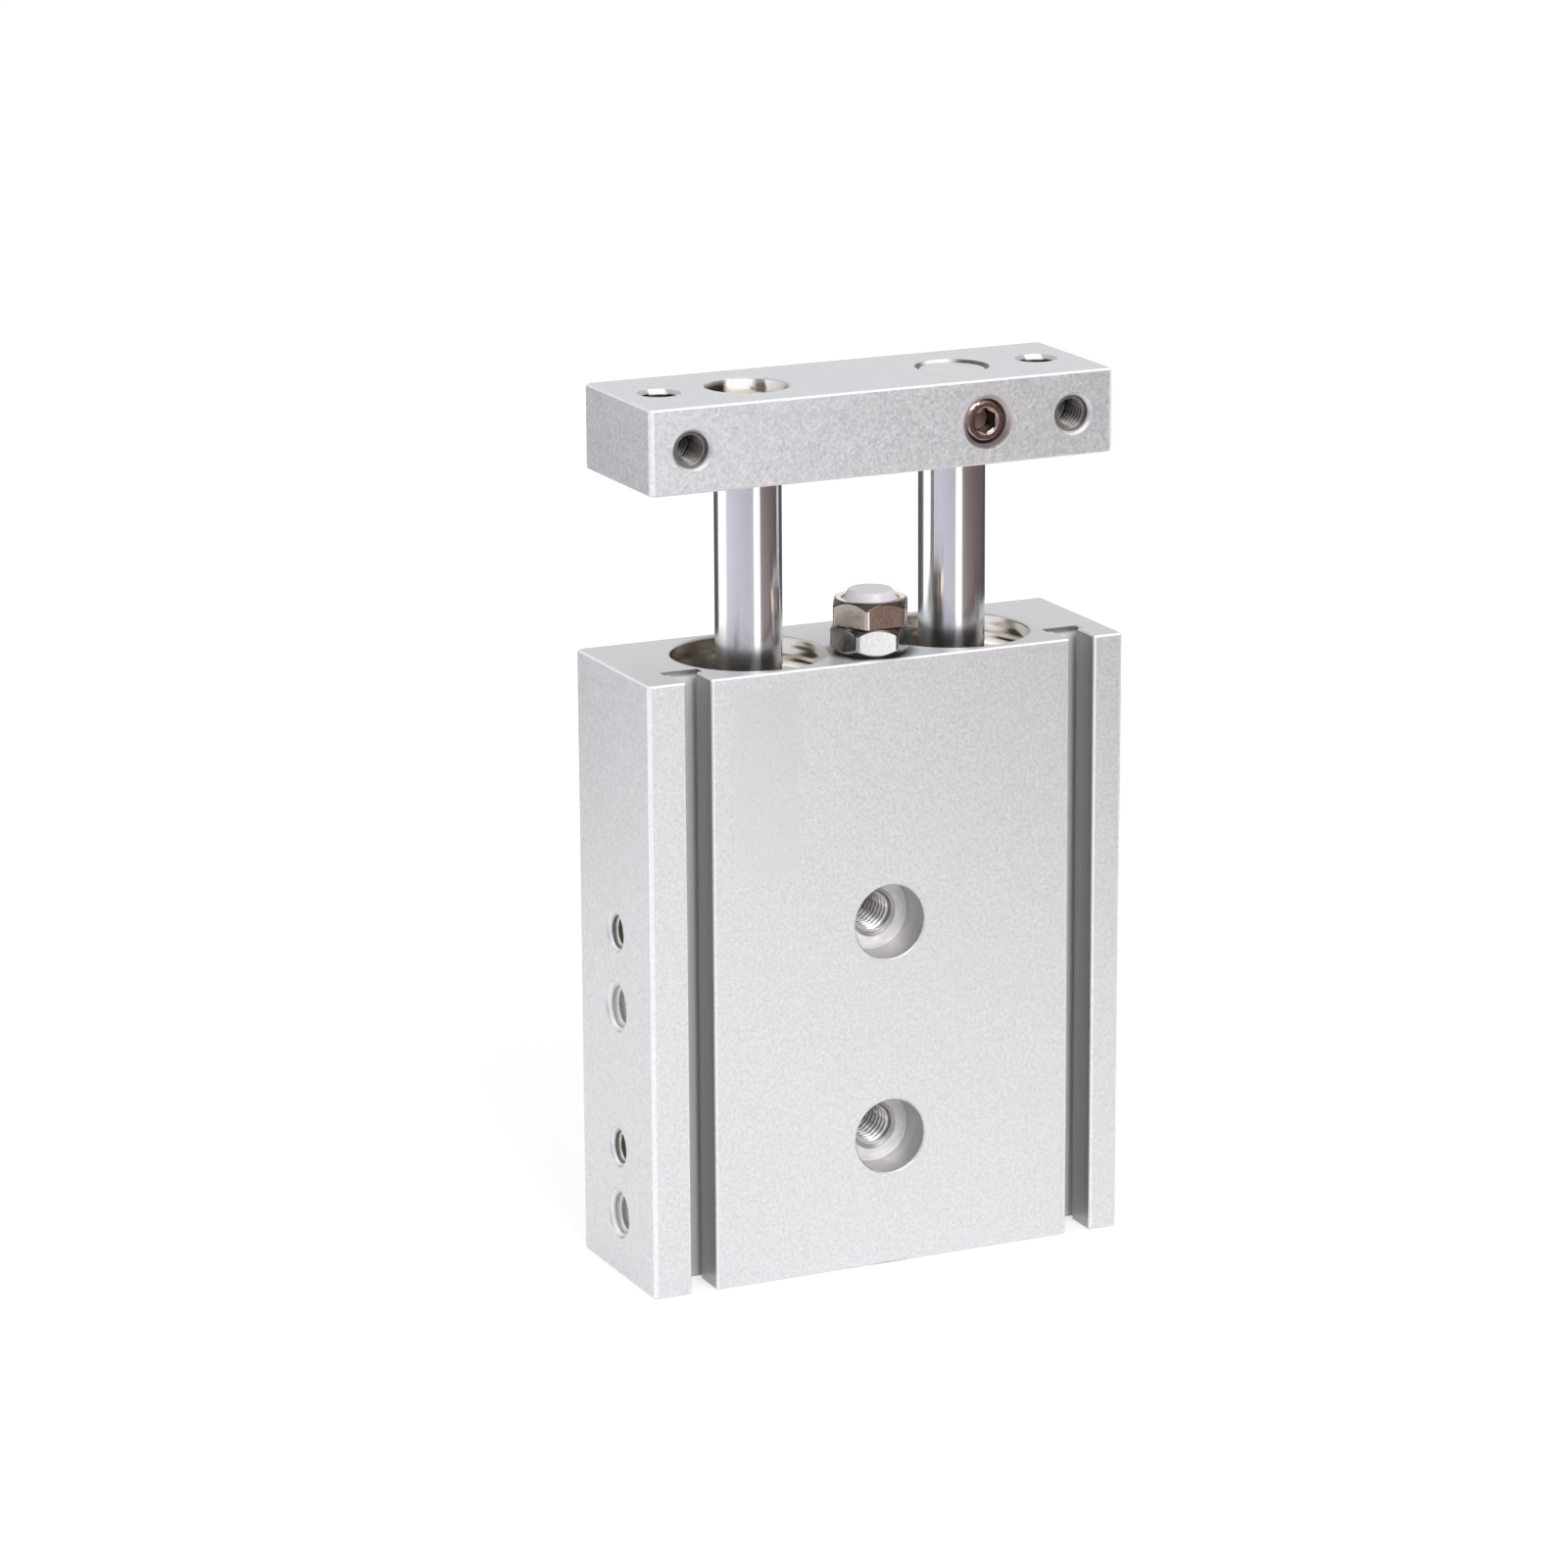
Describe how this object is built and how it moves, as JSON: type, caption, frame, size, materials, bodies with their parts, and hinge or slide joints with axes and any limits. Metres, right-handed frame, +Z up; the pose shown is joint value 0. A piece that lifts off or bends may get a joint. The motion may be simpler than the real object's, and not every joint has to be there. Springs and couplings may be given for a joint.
{
  "type": "twin-rod pneumatic cylinder",
  "caption": "Flat twin-rod air cylinder: an anodised housing with sensor slots, parallel chromed rods, a tapped end plate and an adjustable retract stop.",
  "frame": {"origin": "centre of the housing's bottom face", "axes": "+Z up along the rods towards the end plate, +X along the line of the rods, -Y the front with the sensor slots"},
  "size_m": [0.058, 0.02, 0.1],
  "materials": {
    "housing_anodised": "bead-blasted clear anodised",
    "plate_anodised": "bead-blasted clear anodised",
    "rod_chrome": "ground hard chrome",
    "screw_nickel": "nickel plated",
    "set_screw_dark": "dark nickel plated",
    "nut_nickel": "bright nickel plated",
    "bolt_nickel": "warm nickel plated",
    "bumper_plastic": "natural white plastic",
    "cover_aluminium": "turned",
    "bush_bronze": "sintered bronze",
    "seal_rubber": "nitrile rubber",
    "ring_steel": "spring steel, phosphated",
    "bumper_rubber": "polyurethane",
    "magnet_black": "plastic-bonded magnet",
    "wear_plastic": "low-friction plastic"
  },
  "bodies": {
    "housing": {"body": "housing_anodised", "rod_cover_left": "cover_aluminium", "rod_cover_right": "cover_aluminium", "guide_bush_left": "bush_bronze", "guide_bush_right": "bush_bronze", "rod_seal_left": "seal_rubber", "rod_seal_right": "seal_rubber", "cover_o_ring_left": "seal_rubber", "cover_o_ring_right": "seal_rubber", "front_retaining_ring_left": "ring_steel", "front_retaining_ring_right": "ring_steel", "rear_cover_left": "cover_aluminium", "rear_cover_right": "cover_aluminium", "rear_o_ring_left": "seal_rubber", "rear_o_ring_right": "seal_rubber", "rear_bumper_left": "bumper_rubber", "rear_bumper_right": "bumper_rubber", "rear_retaining_ring_left": "ring_steel", "rear_retaining_ring_right": "ring_steel", "lock_nut": "nut_nickel"},
    "carriage": {"end_plate": "plate_anodised", "piston_rod_left": "rod_chrome", "piston_rod_right": "rod_chrome", "rod_bolt": "screw_nickel", "rod_set_screw": "set_screw_dark", "piston_left": "cover_aluminium", "piston_right": "cover_aluminium", "piston_seal_left": "seal_rubber", "piston_seal_right": "seal_rubber", "piston_magnet_left": "magnet_black", "piston_magnet_right": "magnet_black", "wear_ring_left": "wear_plastic", "wear_ring_right": "wear_plastic", "front_bumper_left": "bumper_rubber", "front_bumper_right": "bumper_rubber"},
    "adjuster_lift": {"adjuster_bumper": "bumper_plastic"},
    "adjuster_screw": {"adjusting_bolt": "bolt_nickel"}
  },
  "joints": [
    {"name": "carriage_slide", "type": "slide", "parent": "housing", "child": "carriage", "axis": [0, 0, 1], "range_m": [-0.01, 0]},
    {"name": "adjuster_rise", "type": "slide", "parent": "housing", "child": "adjuster_lift", "axis": [0, 0, 1], "range_m": [0, 0.003]},
    {"name": "adjuster_turn", "type": "hinge", "parent": "adjuster_lift", "child": "adjuster_screw", "pos_m": [0, -0.005, 0.0733], "axis": [0, 0, 1], "range_deg": [0, 1350]}
  ],
  "couplings": [
    {"joint": "adjuster_turn", "follows": "adjuster_rise", "rad_per_m": 7854}
  ]
}
